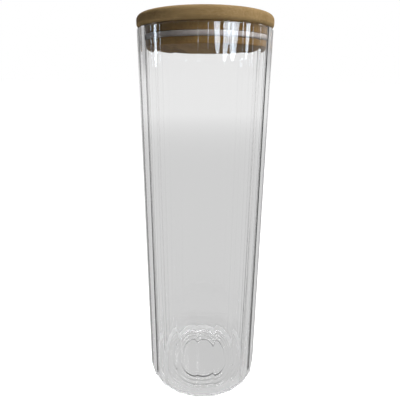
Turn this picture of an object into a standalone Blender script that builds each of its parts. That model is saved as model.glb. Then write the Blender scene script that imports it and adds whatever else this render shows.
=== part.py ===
"""Tall fluted glass storage jar with a push-in bamboo lid and a silicone seal ring.

Metres, +Z up. The origin is the middle of the foot, on the surface that the jar stands on.
Every piece is turned round the Z axis, and the lid's pieces are modelled from its underside.
"""

import math

import bmesh
import bpy

# Glass jar
JAR_HEIGHT = 0.2980       # foot to rim
JAR_RADIUS = 0.0500       # axis to the ridges between the flutes
FLUTE_COUNT = 20          # flutes round the jar
FLUTE_HOLLOW = 0.0002     # middle of a flute, below the straight line between its ridges
RIDGE_ROUND = 0.0010      # rounding of a ridge, to each side of it
WALL = 0.00135            # glass at the middle of a flute, where it is thinnest
BASE = 0.0018             # glass of the floor
HEEL_ROUND = 0.0020       # outer edge of the foot
FLOOR_ROUND = 0.0015      # inner corner between the wall and the floor
FOOT_WIDTH = 0.0080       # flat ring that the jar stands on
PUSH_UP = 0.0008          # rise of the floor's middle above the foot
PUSH_UP_SLOPE = 0.0030    # width of the slope round the raised middle

# Rounded rings moulded under the raised middle, from the inner one to the outer one
RING_RADII = (0.0250, 0.0303, 0.0347)
RING_WIDTHS = (0.0064, 0.0040, 0.0040)
RING_DEPTHS = (0.00064, 0.00031, 0.00031)

# Bamboo lid: a cap board over the rim, and a plug board glued under it
CAP_OVERHANG = 0.0002     # cap past the jar's ridges
CAP_THICKNESS = 0.0086
CAP_TOP_ROUND = 0.0038
CAP_UNDER_ROUND = 0.0025
PLUG_LENGTH = 0.0134      # underside of the cap to the end of the plug
PLUG_PLAY = 0.0014        # plug to the glass, all round
PLUG_ROUND = 0.0008       # lower edge of the plug

# Silicone seal ring, in a groove round the plug
SEAL_DROP = 0.0055        # underside of the cap to the top of the ring
SEAL_HEIGHT = 0.0033
SEAL_SEAT = 0.0022        # depth of the groove
SEAL_ROUND = 0.0012       # outer edges of the ring

# Clearances
SEAT_GAP = 0.0003         # cap to the rim
GLUE_LINE = 0.0003        # plug to the cap
SEAL_GAP = 0.0003         # ring to the groove and to the glass

# Fineness of the solids
FLUTE_STEPS = 4           # flat faces across a flute
TURN_STEPS = 48           # flat faces round a lid piece
ROUND_STEPS = 4           # flat faces along a quarter round
MERGE = 0.000001          # points closer than this are one

# Sizes that follow from those above
FLUTE_PITCH = 2 * math.pi / FLUTE_COUNT
FLUTE_HALF_WIDTH = JAR_RADIUS * math.sin(FLUTE_PITCH / 2)
RIDGE_SLOPE = math.tan(FLUTE_PITCH / 2) + 2 * FLUTE_HOLLOW / FLUTE_HALF_WIDTH
RIDGE_WEAR = RIDGE_SLOPE * RIDGE_ROUND / 2
FLAT_RADIUS = JAR_RADIUS * math.cos(FLUTE_PITCH / 2) + RIDGE_WEAR
BORE_RADIUS = FLAT_RADIUS - FLUTE_HOLLOW - WALL
RIM_ROUND = (JAR_RADIUS - BORE_RADIUS) / 2
FOOT_OUTER = JAR_RADIUS - HEEL_ROUND
FOOT_INNER = FOOT_OUTER - FOOT_WIDTH
CAP_RADIUS = JAR_RADIUS + CAP_OVERHANG
PLUG_RADIUS = BORE_RADIUS - PLUG_PLAY
GROOVE_RADIUS = PLUG_RADIUS - SEAL_SEAT


def arc(centre_radius, centre_height, radius, start, end):
    """Points of a round in the turning plane, from one angle to another, in degrees."""
    steps = max(1, round(ROUND_STEPS * abs(end - start) / 90))
    points = []
    for step in range(steps + 1):
        angle = math.radians(start + (end - start) * step / steps)
        points.append((centre_radius + radius * math.cos(angle),
                       centre_height + radius * math.sin(angle)))
    return points


def turned(name, profile, steps, is_loop=False):
    """A closed body: a profile of (radius, height) points spun round the Z axis."""
    body = bmesh.new()
    points = [body.verts.new((radius, 0, height)) for radius, height in profile]
    pairs = list(zip(points, points[1:]))
    if is_loop:
        pairs.append((points[-1], points[0]))
    lines = [body.edges.new(pair) for pair in pairs]
    bmesh.ops.spin(body, geom=points + lines, cent=(0, 0, 0), axis=(0, 0, 1),
                   angle=2 * math.pi, steps=steps, use_merge=True)
    bmesh.ops.remove_doubles(body, verts=body.verts, dist=MERGE)
    bmesh.ops.recalc_face_normals(body, faces=body.faces)
    mesh = bpy.data.meshes.new(name)
    body.to_mesh(mesh)
    body.free()
    return mesh


def place(name, mesh, material, parent=None):
    """Put a finished mesh in the scene as a smooth-shaded piece."""
    mesh.shade_smooth()
    mesh.set_sharp_from_angle(angle=math.radians(40))
    mesh.materials.append(material)
    piece = bpy.data.objects.new(name, mesh)
    piece.parent = parent
    bpy.context.collection.objects.link(piece)
    return piece


def finish(name, colour, roughness, transmission=0.0, ior=1.5):
    """A plain non-metal material."""
    material = bpy.data.materials.new(name)
    material.use_nodes = True
    shader = material.node_tree.nodes["Principled BSDF"]
    shader.inputs["Base Color"].default_value = (*colour, 1)
    shader.inputs["Roughness"].default_value = roughness
    shader.inputs["Metallic"].default_value = 0
    shader.inputs["Transmission Weight"].default_value = transmission
    shader.inputs["IOR"].default_value = ior
    return material


def push_up(radius):
    """Height at this radius of the floor's middle above the foot."""
    climb = min(max((FOOT_INNER - radius) / PUSH_UP_SLOPE, 0), 1)
    return PUSH_UP * climb * climb * (3 - 2 * climb)


def ring_depth(radius):
    """How far the moulded rings stand out below the floor at this radius."""
    depth = 0
    for middle, width, most in zip(RING_RADII, RING_WIDTHS, RING_DEPTHS):
        across = min(2 * abs(radius - middle) / width, 1)
        depth += most * (1 + math.cos(math.pi * across)) / 2
    return depth


def floor_height(radius):
    """Height of the jar's inner floor at this radius, with the round up to the wall."""
    past_flat = max(radius - (BORE_RADIUS - FLOOR_ROUND), 0)
    lift = FLOOR_ROUND - math.sqrt(max(FLOOR_ROUND ** 2 - past_flat ** 2, 0))
    return BASE + push_up(radius) + lift


def flute_radius(angle):
    """Outer radius of the fluted wall at this angle: shallow hollows that meet in rounded ridges."""
    off_middle = angle % FLUTE_PITCH - FLUTE_PITCH / 2
    across = math.tan(off_middle) / math.tan(FLUTE_PITCH / 2)
    from_ridge = FLUTE_HALF_WIDTH * (1 - abs(across))
    worn = RIDGE_WEAR * max(1 - from_ridge / RIDGE_ROUND, 0) ** 2
    return (FLAT_RADIUS - FLUTE_HOLLOW * (1 - across ** 2) - worn) / math.cos(off_middle)


def jar_profile():
    """Half section of the plain jar: under the foot, up the wall, over the rim, to the floor."""
    slope = [FOOT_INNER - PUSH_UP_SLOPE * (1 - step / ROUND_STEPS) for step in range(ROUND_STEPS + 1)]
    rings = []
    for middle, width in zip(RING_RADII, RING_WIDTHS):
        rings += [middle + width * (step / ROUND_STEPS - 1) / 2 for step in range(2 * ROUND_STEPS + 1)]
    under = [(radius, push_up(radius) - ring_depth(radius)) for radius in sorted([0] + rings + slope)]
    heel = arc(FOOT_OUTER, HEEL_ROUND, HEEL_ROUND, -90, 0)
    rim = arc(JAR_RADIUS - RIM_ROUND, JAR_HEIGHT - RIM_ROUND, RIM_ROUND, 0, 180)
    corner = arc(BORE_RADIUS - FLOOR_ROUND, 0, FLOOR_ROUND, 0, 90)
    floor_radii = sorted([radius for radius, _ in corner] + slope + [0], reverse=True)
    floor = [(radius, floor_height(radius)) for radius in floor_radii]
    return under + heel + rim + floor


def press_flutes(mesh):
    """Squeeze the glass outside the bore to the flutes, so that the bore stays round."""
    for point in mesh.vertices:
        radius = math.hypot(point.co.x, point.co.y)
        if radius > BORE_RADIUS:
            angle = math.atan2(point.co.y, point.co.x)
            squeeze = (flute_radius(angle) - BORE_RADIUS) / (JAR_RADIUS - BORE_RADIUS)
            pressed = BORE_RADIUS + (radius - BORE_RADIUS) * squeeze
            point.co.x *= pressed / radius
            point.co.y *= pressed / radius


def cap_profile():
    """Half section of the cap board, with a full round edge, from its top to its underside."""
    top_round = min(CAP_TOP_ROUND, CAP_THICKNESS / 2)
    under_round = min(CAP_UNDER_ROUND, CAP_THICKNESS / 2)
    top = arc(CAP_RADIUS - top_round, CAP_THICKNESS - top_round, top_round, 90, 0)
    under = arc(CAP_RADIUS - under_round, under_round, under_round, 0, -90)
    return [(0, CAP_THICKNESS)] + top + under + [(0, 0)]


def plug_profile():
    """Half section of the plug board with the groove for the seal, from its top to its end."""
    groove_top = SEAL_GAP - SEAL_DROP
    groove_foot = -SEAL_DROP - SEAL_HEIGHT - SEAL_GAP
    end_round = min(PLUG_ROUND, (groove_foot + PLUG_LENGTH) / 2)
    side = [(PLUG_RADIUS, -GLUE_LINE), (PLUG_RADIUS, groove_top), (GROOVE_RADIUS, groove_top),
            (GROOVE_RADIUS, groove_foot), (PLUG_RADIUS, groove_foot)]
    edge = arc(PLUG_RADIUS - end_round, end_round - PLUG_LENGTH, end_round, 0, -90)
    return [(0, -GLUE_LINE)] + side + edge + [(0, -PLUG_LENGTH)]


def seal_profile():
    """Section of the seal ring: a band that stands out of the groove, with round outer edges."""
    inner = GROOVE_RADIUS + SEAL_GAP
    outer = BORE_RADIUS - SEAL_GAP
    edge_round = min(SEAL_ROUND, SEAL_HEIGHT / 2, outer - inner)
    foot = -SEAL_DROP - SEAL_HEIGHT
    top_edge = arc(outer - edge_round, -SEAL_DROP - edge_round, edge_round, 90, 0)
    foot_edge = arc(outer - edge_round, foot + edge_round, edge_round, 0, -90)
    return [(inner, -SEAL_DROP)] + top_edge + foot_edge + [(inner, foot)]


for old in list(bpy.data.objects):
    bpy.data.objects.remove(old)

clear_glass = finish("clear_borosilicate_glass", (0.90, 0.92, 0.91), 0.03, transmission=1.0, ior=1.47)
cap_bamboo = finish("carbonised_bamboo_cap", (0.42, 0.28, 0.15), 0.55)
plug_bamboo = finish("carbonised_bamboo_plug", (0.33, 0.22, 0.11), 0.60)
silicone = finish("translucent_silicone", (0.72, 0.70, 0.70), 0.45)

jar_mesh = turned("glass_body", jar_profile(), FLUTE_COUNT * FLUTE_STEPS)
press_flutes(jar_mesh)
place("glass_body", jar_mesh, clear_glass)

# The lid lifts and turns about this point, the middle of the cap's underside.
lid_seat = bpy.data.objects.new("lid_seat", None)
lid_seat.location = (0, 0, JAR_HEIGHT + SEAT_GAP)
bpy.context.collection.objects.link(lid_seat)

place("lid_cap", turned("lid_cap", cap_profile(), TURN_STEPS), cap_bamboo, lid_seat)
place("lid_plug", turned("lid_plug", plug_profile(), TURN_STEPS), plug_bamboo, lid_seat)
place("seal_ring", turned("seal_ring", seal_profile(), TURN_STEPS, is_loop=True), silicone, lid_seat)
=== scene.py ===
import math

import bmesh
import bpy
from mathutils import Matrix, Vector


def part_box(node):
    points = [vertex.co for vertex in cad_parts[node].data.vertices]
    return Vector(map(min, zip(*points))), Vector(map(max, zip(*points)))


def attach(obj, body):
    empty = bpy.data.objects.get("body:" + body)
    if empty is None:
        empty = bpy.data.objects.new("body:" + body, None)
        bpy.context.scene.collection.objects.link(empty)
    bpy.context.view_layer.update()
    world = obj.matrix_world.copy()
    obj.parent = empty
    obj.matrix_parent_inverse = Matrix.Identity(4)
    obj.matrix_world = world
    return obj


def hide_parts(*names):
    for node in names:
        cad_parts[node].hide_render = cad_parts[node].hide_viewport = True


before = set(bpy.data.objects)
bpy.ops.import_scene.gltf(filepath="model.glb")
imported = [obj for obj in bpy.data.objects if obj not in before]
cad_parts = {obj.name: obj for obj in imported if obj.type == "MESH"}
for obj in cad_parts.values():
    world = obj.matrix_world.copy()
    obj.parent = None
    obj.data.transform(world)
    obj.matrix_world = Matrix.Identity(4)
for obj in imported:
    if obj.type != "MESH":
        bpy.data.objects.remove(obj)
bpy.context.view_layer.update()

# Glass body. One piece of clear glass, taken to be borosilicate blown into a fluted mould. The bore is round,
# the flutes outside are shallow hollows between narrow ridges, and the jar stands on a flat ring round a
# raised floor, which has three moulded rings under it.
MM = 0.001
_, jar_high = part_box("glass_body")
JAR_RADIUS = jar_high.x
JAR_HEIGHT = jar_high.z
FLUTE_COUNT = 20
FLUTE_HOLLOW = 0.2 * MM
RIDGE_ROUND = 1.0 * MM
WALL = 1.35 * MM
BASE = 1.8 * MM
HEEL_ROUND = 2.0 * MM
FLOOR_ROUND = 1.5 * MM
FOOT_WIDTH = 8 * MM
PUSH_UP = 0.8 * MM
PUSH_UP_SLOPE = 3 * MM
RING_RADII = (25 * MM, 30.3 * MM, 34.7 * MM)
RING_WIDTHS = (6.4 * MM, 4 * MM, 4 * MM)
RING_DEPTHS = (0.64 * MM, 0.31 * MM, 0.31 * MM)
FLUTE_STEPS = 28
ROUND_STEPS = 10
HOLD = 0.3 * MM
HOLD_LIMIT = 0.25
MERGE = 0.001 * MM

FLUTE_PITCH = 2 * math.pi / FLUTE_COUNT
FLUTE_HALF_WIDTH = JAR_RADIUS * math.sin(FLUTE_PITCH / 2)
RIDGE_SLOPE = math.tan(FLUTE_PITCH / 2) + 2 * FLUTE_HOLLOW / FLUTE_HALF_WIDTH
RIDGE_WEAR = RIDGE_SLOPE * RIDGE_ROUND / 2
FLAT_RADIUS = JAR_RADIUS * math.cos(FLUTE_PITCH / 2) + RIDGE_WEAR
BORE_RADIUS = FLAT_RADIUS - FLUTE_HOLLOW - WALL
RIM_ROUND = (JAR_RADIUS - BORE_RADIUS) / 2
FOOT_OUTER = JAR_RADIUS - HEEL_ROUND
FOOT_INNER = FOOT_OUTER - FOOT_WIDTH


def arc(centre_radius, centre_height, radius, start, end):
    """Points of a round in the turning plane, from one angle to another, in degrees."""
    steps = max(2, round(ROUND_STEPS * abs(end - start) / 90))
    angles = [math.radians(start + (end - start) * step / steps) for step in range(steps + 1)]
    return [(centre_radius + radius * math.cos(angle), centre_height + radius * math.sin(angle))
            for angle in angles]


def held(profile, is_loop):
    """Add a point near each end of a long straight stretch, so that smooth shading stays flat along it."""
    ends = profile[1:] + (profile[:1] if is_loop else [])
    points = []
    for start, end in zip(profile, ends):
        points.append(start)
        share = HOLD / math.dist(start, end)
        if share < HOLD_LIMIT:
            for part in (share, 1 - share):
                points.append((start[0] + (end[0] - start[0]) * part, start[1] + (end[1] - start[1]) * part))
    return points if is_loop else points + profile[-1:]


def turned(profile, steps, is_loop=False):
    """A closed bmesh: a profile of (radius, height) points spun round the Z axis."""
    body = bmesh.new()
    points = [body.verts.new((radius, 0, height)) for radius, height in held(profile, is_loop)]
    lines = [body.edges.new(pair) for pair in zip(points, points[1:])]
    if is_loop:
        lines.append(body.edges.new((points[-1], points[0])))
    bmesh.ops.spin(body, geom=points + lines, cent=(0, 0, 0), axis=(0, 0, 1),
                   angle=2 * math.pi, steps=steps, use_merge=True)
    bmesh.ops.remove_doubles(body, verts=body.verts, dist=MERGE)
    bmesh.ops.recalc_face_normals(body, faces=body.faces)
    return body


def piece_from(name, body, material, sharp_degrees):
    """Turn a bmesh into a smooth-shaded piece at the origin."""
    mesh = bpy.data.meshes.new(name)
    body.to_mesh(mesh)
    body.free()
    mesh.shade_smooth()
    mesh.set_sharp_from_angle(angle=math.radians(sharp_degrees))
    mesh.materials.append(material)
    piece = bpy.data.objects.new(name, mesh)
    bpy.context.scene.collection.objects.link(piece)
    return piece


def push_up(radius):
    """Height at this radius of the floor's middle above the foot ring."""
    climb = min(max((FOOT_INNER - radius) / PUSH_UP_SLOPE, 0), 1)
    return PUSH_UP * climb * climb * (3 - 2 * climb)


def ring_depth(radius):
    """How far the moulded rings stand out below the floor at this radius."""
    depth = 0
    for middle, width, most in zip(RING_RADII, RING_WIDTHS, RING_DEPTHS):
        across = min(2 * abs(radius - middle) / width, 1)
        depth += most * (1 + math.cos(math.pi * across)) / 2
    return depth


def floor_height(radius):
    """Height of the inner floor at this radius, with the round up to the wall."""
    past_flat = max(radius - (BORE_RADIUS - FLOOR_ROUND), 0)
    return BASE + push_up(radius) + FLOOR_ROUND - math.sqrt(max(FLOOR_ROUND ** 2 - past_flat ** 2, 0))


def flute_radius(angle):
    """Outer radius of the wall at this angle: hollow between the ridges, and rounded at them."""
    off_middle = angle % FLUTE_PITCH - FLUTE_PITCH / 2
    across = math.tan(off_middle) / math.tan(FLUTE_PITCH / 2)
    from_ridge = FLUTE_HALF_WIDTH * (1 - abs(across))
    worn = RIDGE_WEAR * max(1 - from_ridge / RIDGE_ROUND, 0) ** 2
    return (FLAT_RADIUS - FLUTE_HOLLOW * (1 - across ** 2) - worn) / math.cos(off_middle)


def linear(hex_colour):
    """An sRGB hex colour as linear light, with an alpha of 1."""
    parts = [int(hex_colour[i:i + 2], 16) / 255 for i in (1, 3, 5)]
    light = [part / 12.92 if part <= 0.04045 else ((part + 0.055) / 1.055) ** 2.4 for part in parts]
    return (*light, 1)


def add(tree, kind, settings=None, links=None):
    """Add a node, set its properties and sockets by name, and link its inputs."""
    node = tree.nodes.new(kind)
    for name, value in (settings or {}).items():
        if isinstance(name, str) and hasattr(node, name):
            setattr(node, name, value)
        else:
            node.inputs[name].default_value = value
    for name, source in (links or {}).items():
        tree.links.new(source, node.inputs[name])
    return node


def new_material(name):
    """An empty node material with its output."""
    material = bpy.data.materials.new(name)
    material.use_nodes = True
    material.node_tree.nodes.clear()
    return material, material.node_tree, material.node_tree.nodes.new("ShaderNodeOutputMaterial")


slope_radii = [FOOT_INNER - PUSH_UP_SLOPE * (1 - part / ROUND_STEPS) for part in range(ROUND_STEPS + 1)]
ring_radii = []
for middle, width in zip(RING_RADII, RING_WIDTHS):
    ring_radii += [middle + width * (part / ROUND_STEPS - 1) / 2 for part in range(2 * ROUND_STEPS + 1)]
under = [(radius, push_up(radius) - ring_depth(radius)) for radius in [0] + ring_radii + slope_radii]
heel = arc(FOOT_OUTER, HEEL_ROUND, HEEL_ROUND, -90, 0)
rim = arc(JAR_RADIUS - RIM_ROUND, JAR_HEIGHT - RIM_ROUND, RIM_ROUND, 0, 180)
corner = arc(BORE_RADIUS - FLOOR_ROUND, 0, FLOOR_ROUND, 0, 90)
floor_radii = sorted([radius for radius, _ in corner] + slope_radii, reverse=True)
jar_floor = [(radius, floor_height(radius)) for radius in floor_radii] + [(0, floor_height(0))]

jar_body = turned(under + heel + rim + jar_floor, FLUTE_COUNT * FLUTE_STEPS)
for point in jar_body.verts:
    radius = math.hypot(point.co.x, point.co.y)
    if radius > BORE_RADIUS:
        outer = flute_radius(math.atan2(point.co.y, point.co.x))
        squeeze = (outer - BORE_RADIUS) / (JAR_RADIUS - BORE_RADIUS)
        point.co.xy *= (BORE_RADIUS + (radius - BORE_RADIUS) * squeeze) / radius

# The glass is colourless and very smooth. Blowing leaves faint upright waves in the wall, which bend what is
# seen through it, the glass greys a little where light goes far along it, and use has worn the foot matt.
WAVE_WIDTH = 9 * MM
WAVE_DEPTH = 0.02 * MM
WAVE_UPRIGHT_SCALE = 0.08
FOOT_WEAR = 0.12 * MM
FOOT_ROUGHNESS = 0.5
GLASS_IOR = 1.47
GREY_DENSITY = 6.0
glass, tree, output = new_material("clear_borosilicate_glass")
place = add(tree, "ShaderNodeTexCoord").outputs["Object"]
stretched = add(tree, "ShaderNodeMapping", {"Scale": (1, 1, WAVE_UPRIGHT_SCALE)}, {"Vector": place})
waves = add(tree, "ShaderNodeTexNoise", {"Scale": 1 / WAVE_WIDTH, "Detail": 1.0, "Roughness": 0.4},
            {"Vector": stretched.outputs[0]})
wavy = add(tree, "ShaderNodeBump", {"Strength": 1.0, "Distance": WAVE_DEPTH}, {"Height": waves.outputs[0]})
height = add(tree, "ShaderNodeSeparateXYZ", None, {0: place}).outputs["Z"]
worn_foot = add(tree, "ShaderNodeMapRange",
                {"From Max": FOOT_WEAR, "To Min": FOOT_ROUGHNESS, "To Max": 0.0}, {"Value": height})
surface = add(tree, "ShaderNodeBsdfPrincipled",
              {"Base Color": linear("#FFFFFF"), "IOR": GLASS_IOR, "Transmission Weight": 1.0},
              {"Roughness": worn_foot.outputs[0], "Normal": wavy.outputs[0]})
depth = add(tree, "ShaderNodeVolumeAbsorption", {"Color": linear("#C4C8C6"), "Density": GREY_DENSITY})
tree.links.new(surface.outputs[0], output.inputs["Surface"])
tree.links.new(depth.outputs[0], output.inputs["Volume"])

jar = piece_from("fluted_glass_jar", jar_body, glass, sharp_degrees=50)
jar.visible_shadow = False
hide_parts("glass_body")
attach(jar, "jar")

# Lid plug. The inner bamboo board of the lid, turned to pass the jar's bore with a little play, with a square
# groove round it for the seal. It is glued to the cap above it.
plug_low, plug_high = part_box("lid_plug")
seal_low, seal_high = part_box("seal_ring")
PLUG_RADIUS = plug_high.x
SEAL_SEAT = 2.2 * MM
GROOVE_PLAY = 0.3 * MM
PLUG_ROUND = 0.8 * MM
GROOVE_EDGE = 0.25 * MM
LID_STEPS = 160

groove_top = seal_high.z + GROOVE_PLAY
groove_foot = seal_low.z - GROOVE_PLAY
groove_radius = PLUG_RADIUS - SEAL_SEAT
plug_side = [(PLUG_RADIUS, plug_high.z)]
plug_side += arc(PLUG_RADIUS - GROOVE_EDGE, groove_top + GROOVE_EDGE, GROOVE_EDGE, 0, -90)
plug_side += [(groove_radius, groove_top), (groove_radius, groove_foot)]
plug_side += arc(PLUG_RADIUS - GROOVE_EDGE, groove_foot - GROOVE_EDGE, GROOVE_EDGE, 90, 0)
plug_side += arc(PLUG_RADIUS - PLUG_ROUND, plug_low.z + PLUG_ROUND, PLUG_ROUND, 0, -90)
plug_body = turned([(0, plug_high.z)] + plug_side + [(0, plug_low.z)], LID_STEPS)

# Carbonised bamboo: strips pressed side by side, each a slightly different brown, with fine darker fibres
# along them, whose ends dot the cut edge. It is sanded and left almost dull.
STRIP_WIDTH = 19 * MM
FIBRE_WIDTH = 0.9 * MM
FIBRE_LENGTH = 30 * MM
STRIP_SHARE = 0.30
FIBRE_SHARE = 0.55
PATCH_SHARE = 0.45
DARK_END = 0.38
PALE_END = 0.92
GRAIN_DEPTH = 0.08 * MM


def bamboo(name, pale, dark, grain_degrees, strip_seed):
    """Pressed bamboo strips that run along the turned X axis of the board."""
    material, tree, output = new_material(name)
    place = add(tree, "ShaderNodeTexCoord").outputs["Object"]
    turned_place = add(tree, "ShaderNodeMapping", {"Rotation": (0, 0, math.radians(grain_degrees))},
                       {"Vector": place}).outputs[0]
    split = add(tree, "ShaderNodeSeparateXYZ", None, {0: turned_place})
    strip = add(tree, "ShaderNodeMath", {"operation": "DIVIDE", 1: STRIP_WIDTH}, {0: split.outputs["Y"]})
    strip_index = add(tree, "ShaderNodeMath", {"operation": "FLOOR"}, {0: strip.outputs[0]})
    seeded = add(tree, "ShaderNodeMath", {"operation": "ADD", 1: strip_seed}, {0: strip_index.outputs[0]})
    strip_tone = add(tree, "ShaderNodeTexWhiteNoise", {"noise_dimensions": "1D"}, {"W": seeded.outputs[0]})
    drawn = add(tree, "ShaderNodeMapping", {"Scale": (FIBRE_WIDTH / FIBRE_LENGTH, 1, 1)},
                {"Vector": turned_place})
    fibres = add(tree, "ShaderNodeTexNoise", {"Scale": 1 / FIBRE_WIDTH, "Detail": 3.0, "Roughness": 0.6},
                 {"Vector": drawn.outputs[0]})
    patches = add(tree, "ShaderNodeTexNoise", {"Scale": 1 / STRIP_WIDTH, "Detail": 2.0},
                  {"Vector": turned_place})
    tone = add(tree, "ShaderNodeMath", {"operation": "MULTIPLY", 1: STRIP_SHARE},
               {0: strip_tone.outputs["Value"]})
    tone = add(tree, "ShaderNodeMath", {"operation": "MULTIPLY_ADD", 1: FIBRE_SHARE},
               {0: fibres.outputs[0], 2: tone.outputs[0]})
    tone = add(tree, "ShaderNodeMath", {"operation": "MULTIPLY_ADD", 1: PATCH_SHARE},
               {0: patches.outputs[0], 2: tone.outputs[0]})
    colour = add(tree, "ShaderNodeValToRGB", None, {"Fac": tone.outputs[0]})
    colour.color_ramp.elements[0].position = DARK_END
    colour.color_ramp.elements[0].color = linear(dark)
    colour.color_ramp.elements[1].position = PALE_END
    colour.color_ramp.elements[1].color = linear(pale)
    grain = add(tree, "ShaderNodeBump", {"Strength": 0.5, "Distance": GRAIN_DEPTH},
                {"Height": fibres.outputs[0]})
    shine = add(tree, "ShaderNodeMapRange", {"To Min": 0.70, "To Max": 0.52}, {"Value": fibres.outputs[0]})
    surface = add(tree, "ShaderNodeBsdfPrincipled", {"IOR": 1.5, "Specular IOR Level": 0.05},
                  {"Base Color": colour.outputs[0], "Roughness": shine.outputs[0],
                   "Normal": grain.outputs[0]})
    tree.links.new(surface.outputs[0], output.inputs["Surface"])
    return material


# The plug's bamboo is darker than the cap's: partly its own tone, partly painted shade for the band under the
# cap.
plug_bamboo_with_painted_shade = bamboo("carbonised_bamboo_plug", "#967648", "#624826", grain_degrees=96, strip_seed=3)
plug = piece_from("bamboo_lid_plug", plug_body, plug_bamboo_with_painted_shade, sharp_degrees=40)
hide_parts("lid_plug")
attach(plug, "lid")

# Seal ring. A band of translucent silicone, moulded in one piece and stretched into the plug's groove. On the
# real jar it grips the bore; here it stays just clear of it.
SEAL_ROUND = 1.2 * MM
BLOOM_WIDTH = 4 * MM
seal_inner = groove_radius + GROOVE_PLAY
seal_section = [(seal_inner, seal_high.z)]
seal_section += arc(seal_high.x - SEAL_ROUND, seal_high.z - SEAL_ROUND, SEAL_ROUND, 90, 0)
seal_section += arc(seal_high.x - SEAL_ROUND, seal_low.z + SEAL_ROUND, SEAL_ROUND, 0, -90)
seal_section += [(seal_inner, seal_low.z)]
seal_body = turned(seal_section, LID_STEPS, is_loop=True)

# Silicone is milky and lets light in a little way. Moulded rubber is satin, with a faint bloom of dust.
silicone, tree, output = new_material("milky_silicone")
place = add(tree, "ShaderNodeTexCoord").outputs["Object"]
bloom = add(tree, "ShaderNodeTexNoise", {"Scale": 1 / BLOOM_WIDTH, "Detail": 4.0}, {"Vector": place})
colour = add(tree, "ShaderNodeValToRGB", None, {"Fac": bloom.outputs[0]})
colour.color_ramp.elements[0].position = 0.3
colour.color_ramp.elements[0].color = linear("#9E948E")
colour.color_ramp.elements[1].position = 0.7
colour.color_ramp.elements[1].color = linear("#AEA59F")
shine = add(tree, "ShaderNodeMapRange", {"To Min": 0.38, "To Max": 0.52}, {"Value": bloom.outputs[0]})
surface = add(tree, "ShaderNodeBsdfPrincipled",
              {"IOR": 1.41, "Specular IOR Level": 0.15, "Subsurface Weight": 0.35,
               "Subsurface Scale": 1.5 * MM, "Subsurface Radius": (1.0, 0.95, 0.9)},
              {"Base Color": colour.outputs[0], "Roughness": shine.outputs[0]})
tree.links.new(surface.outputs[0], output.inputs["Surface"])

seal = piece_from("silicone_seal_ring", seal_body, silicone, sharp_degrees=40)
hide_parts("seal_ring")
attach(seal, "seal")

# Lid cap. The outer bamboo board, turned to a disc that lies on the rim and stands a little past it, with its
# edge rounded over by sanding.
cap_low, cap_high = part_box("lid_cap")
CAP_RADIUS = cap_high.x
CAP_TOP_ROUND = 3.8 * MM
CAP_UNDER_ROUND = 2.5 * MM
cap_side = arc(CAP_RADIUS - CAP_TOP_ROUND, cap_high.z - CAP_TOP_ROUND, CAP_TOP_ROUND, 90, 0)
cap_side += arc(CAP_RADIUS - CAP_UNDER_ROUND, cap_low.z + CAP_UNDER_ROUND, CAP_UNDER_ROUND, 0, -90)
cap_body = turned([(0, cap_high.z)] + cap_side + [(0, cap_low.z)], LID_STEPS)
cap_bamboo = bamboo("carbonised_bamboo_cap", "#BC9F72", "#8A6F45", grain_degrees=6, strip_seed=11)
cap = piece_from("bamboo_lid_cap", cap_body, cap_bamboo, sharp_degrees=40)
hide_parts("lid_cap")
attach(cap, "lid")

# Floor. A plain pale tabletop that fades into a white backdrop: it keeps the jar's soft shadow, and it shows
# white to the eye and a little less so through the glass, where a painted shadow darkens it under the jar.
FLOOR_SIZE = 120.0
FLOOR_GAP = 0.1 * MM
SHADOW_EDGE = 0.3
NEAR_EDGE = 0.9
WHITE_NEAR = 0.74
UNDER_JAR = 0.05
BESIDE_JAR = 0.08
FADE_FROM = 0.7
FADE_FULL = 3.0
GLASS_PAINTED_SHADOW = 0.57
GLASS_NEAR = 0.63
GLASS_FAR = 0.81
floor_body = bmesh.new()
bmesh.ops.create_grid(floor_body, x_segments=4, y_segments=4, size=FLOOR_SIZE / 2,
                      matrix=Matrix.Translation((0, 0, -FLOOR_GAP)))
paper, tree, output = new_material("white_paper_sweep")
place = add(tree, "ShaderNodeTexCoord").outputs["Object"]
away = add(tree, "ShaderNodeVectorMath", {"operation": "LENGTH"}, {0: place}).outputs["Value"]
white_to_eye = add(tree, "ShaderNodeMapRange",
                   {"interpolation_type": "SMOOTHSTEP", "From Min": SHADOW_EDGE, "From Max": NEAR_EDGE,
                    "To Min": WHITE_NEAR, "To Max": 1.0}, {"Value": away})
# Painted shadow: seen through the glass, the floor glows less right under the jar, as if shaded there.
near_in_glass_with_painted_shadow = add(tree, "ShaderNodeMapRange",
                    {"interpolation_type": "SMOOTHSTEP", "From Min": UNDER_JAR, "From Max": BESIDE_JAR,
                     "To Min": GLASS_PAINTED_SHADOW, "To Max": GLASS_NEAR}, {"Value": away})
white_in_glass = add(tree, "ShaderNodeMapRange",
                     {"interpolation_type": "SMOOTHSTEP", "From Min": FADE_FROM, "From Max": FADE_FULL,
                      "To Max": GLASS_FAR}, {"Value": away, "To Min": near_in_glass_with_painted_shadow.outputs[0]})
ray = add(tree, "ShaderNodeLightPath")
direct = add(tree, "ShaderNodeMath", {"operation": "MULTIPLY"},
             {0: ray.outputs["Is Camera Ray"], 1: white_to_eye.outputs[0]})
bent = add(tree, "ShaderNodeMath", {"operation": "MAXIMUM"},
           {0: ray.outputs["Is Transmission Ray"], 1: ray.outputs["Is Glossy Ray"]})
bent = add(tree, "ShaderNodeMath", {"operation": "GREATER_THAN"},
           {0: bent.outputs[0], 1: ray.outputs["Diffuse Depth"]})
to_eye = add(tree, "ShaderNodeEmission", {"Color": (1, 1, 1, 1)}, {"Strength": direct.outputs[0]})
in_glass = add(tree, "ShaderNodeEmission", {"Color": (1, 1, 1, 1)}, {"Strength": white_in_glass.outputs[0]})
matt = add(tree, "ShaderNodeBsdfDiffuse", {"Color": linear("#DADADA")})
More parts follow.
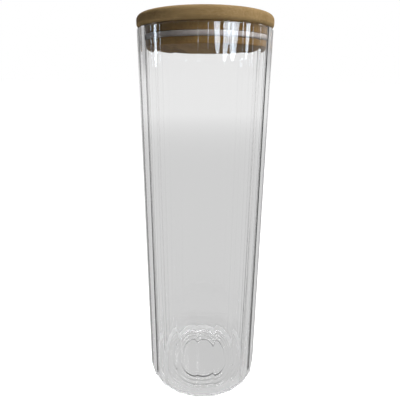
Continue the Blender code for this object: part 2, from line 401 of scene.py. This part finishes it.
lit = add(tree, "ShaderNodeAddShader", None, {0: matt.outputs[0], 1: to_eye.outputs[0]})
both = add(tree, "ShaderNodeMixShader", None, {0: bent.outputs[0], 1: lit.outputs[0], 2: in_glass.outputs[0]})
tree.links.new(both.outputs[0], output.inputs["Surface"])
tabletop = piece_from("tabletop", floor_body, paper, sharp_degrees=40)

# Studio light. A room that is dark in front of the jar and pale behind it, with a weak even fill, a softbox
# at the right that lights the lid, five tall windows that show only as gleams on the glass, and a softbox
# behind.
FILL = 0.035
ROOM_FRONT = 0.06
ROOM_BACK = 0.6
ROOM_FROM = 0.1
ROOM_FULL = 0.6
TABLE_HAZE = 0.05
WALL_IN_GLASS = 0.92
LAMP_TARGET = Vector((0, 0, 0.28))
world = bpy.data.worlds.new("studio")
bpy.context.scene.world = world
world.use_nodes = True
tree = world.node_tree
ray = add(tree, "ShaderNodeLightPath")
heading = add(tree, "ShaderNodeSeparateXYZ", None, {0: add(tree, "ShaderNodeTexCoord").outputs["Generated"]})
room = add(tree, "ShaderNodeMapRange",
           {"interpolation_type": "SMOOTHSTEP", "From Min": ROOM_FROM, "From Max": ROOM_FULL,
            "To Min": ROOM_FRONT, "To Max": ROOM_BACK}, {"Value": heading.outputs["Y"]})
room = add(tree, "ShaderNodeMapRange", {"From Max": TABLE_HAZE, "To Min": GLASS_FAR},
           {"Value": heading.outputs["Z"], "To Max": room.outputs[0]})
level = add(tree, "ShaderNodeMapRange", {"To Max": FILL},
            {"Value": ray.outputs["Diffuse Depth"], "To Min": room.outputs[0]})
thrown_back = add(tree, "ShaderNodeMath", {"operation": "ADD"},
                  {0: ray.outputs["Diffuse Depth"], 1: ray.outputs["Glossy Depth"]})
through = add(tree, "ShaderNodeMath", {"operation": "GREATER_THAN"},
              {0: ray.outputs["Is Transmission Ray"], 1: thrown_back.outputs[0]})
wall = add(tree, "ShaderNodeMapRange", {"From Max": TABLE_HAZE, "To Min": GLASS_FAR, "To Max": WALL_IN_GLASS},
           {"Value": heading.outputs["Z"]})
level = add(tree, "ShaderNodeMapRange", None,
            {"Value": through.outputs[0], "To Min": level.outputs[0], "To Max": wall.outputs[0]})
level = add(tree, "ShaderNodeMapRange", {"To Max": 1.0},
            {"Value": ray.outputs["Is Camera Ray"], "To Min": level.outputs[0]})
tree.links.new(level.outputs[0], tree.nodes["Background"].inputs["Strength"])
tree.nodes["Background"].inputs["Color"].default_value = (1, 1, 1, 1)


def softbox(name, azimuth, elevation, distance, size, watts, only_mirrored=False):
    """A soft oval lamp that looks at the jar's upper part, or one that shows only as a gleam on the glass."""
    turn = math.radians(azimuth)
    rise = math.radians(elevation)
    away = Vector((math.sin(turn) * math.cos(rise), -math.cos(turn) * math.cos(rise), math.sin(rise)))
    lamp = bpy.data.lights.new(name, "AREA")
    lamp.shape = "ELLIPSE"
    lamp.size, lamp.size_y = size
    lamp.energy = watts
    lamp.color = linear("#E6F3FF" if only_mirrored else "#FFFFFF")[:3]
    holder = bpy.data.objects.new(name, lamp)
    holder.location = LAMP_TARGET + away * distance
    holder.rotation_euler = (-away).to_track_quat("-Z", "Y").to_euler()
    holder.visible_diffuse = not only_mirrored
    bpy.context.scene.collection.objects.link(holder)


softbox("key_softbox", 60, 42, 1.2, (0.8, 0.7), 12.5)
softbox("window_pane_left", 53.9, 11.0, 1.2, (0.075, 0.36), 1.1, only_mirrored=True)
softbox("window_pane_right", 51.0, 11.0, 1.2, (0.075, 0.36), 1.1, only_mirrored=True)
softbox("side_window", 93.0, 11.0, 1.2, (0.09, 0.36), 1.15, only_mirrored=True)
softbox("front_window", 10.1, 10.8, 1.2, (0.045, 0.30), 0.6, only_mirrored=True)
softbox("left_window", -84, 10.0, 1.2, (0.06, 0.36), 0.7, only_mirrored=True)
softbox("back_softbox", 186, 64, 1.4, (0.9, 0.6), 10)

# Camera. It stands in front of the jar, a little below its rim, and looks down along it. A ridge between two
# flutes is turned a little to the left of the view.
VIEW_TURN = math.radians(6)
VIEW_DISTANCE = 291.4 * MM
VIEW_HEIGHT = 262.1 * MM
VIEW_PITCH = math.radians(18.36)
VIEW_YAW = math.radians(-0.59)
VIEW_ROLL = math.radians(0.357)
camera_data = bpy.data.cameras.new("camera")
camera_data.sensor_width = 36
camera_data.lens = 32.165
camera_data.clip_start = 10 * MM
camera = bpy.data.objects.new("camera", camera_data)
bpy.context.scene.collection.objects.link(camera)
ahead = Vector((math.sin(VIEW_YAW) * math.cos(VIEW_PITCH), math.cos(VIEW_YAW) * math.cos(VIEW_PITCH),
                -math.sin(VIEW_PITCH)))
aimed = ahead.to_track_quat("-Z", "Y").to_matrix().to_4x4() @ Matrix.Rotation(VIEW_ROLL, 4, "Z")
camera.matrix_world = (Matrix.Rotation(VIEW_TURN, 4, "Z")
                       @ Matrix.Translation((0, -VIEW_DISTANCE, VIEW_HEIGHT)) @ aimed)
bpy.context.scene.camera = camera
bpy.context.scene.view_settings.view_transform = "Standard"
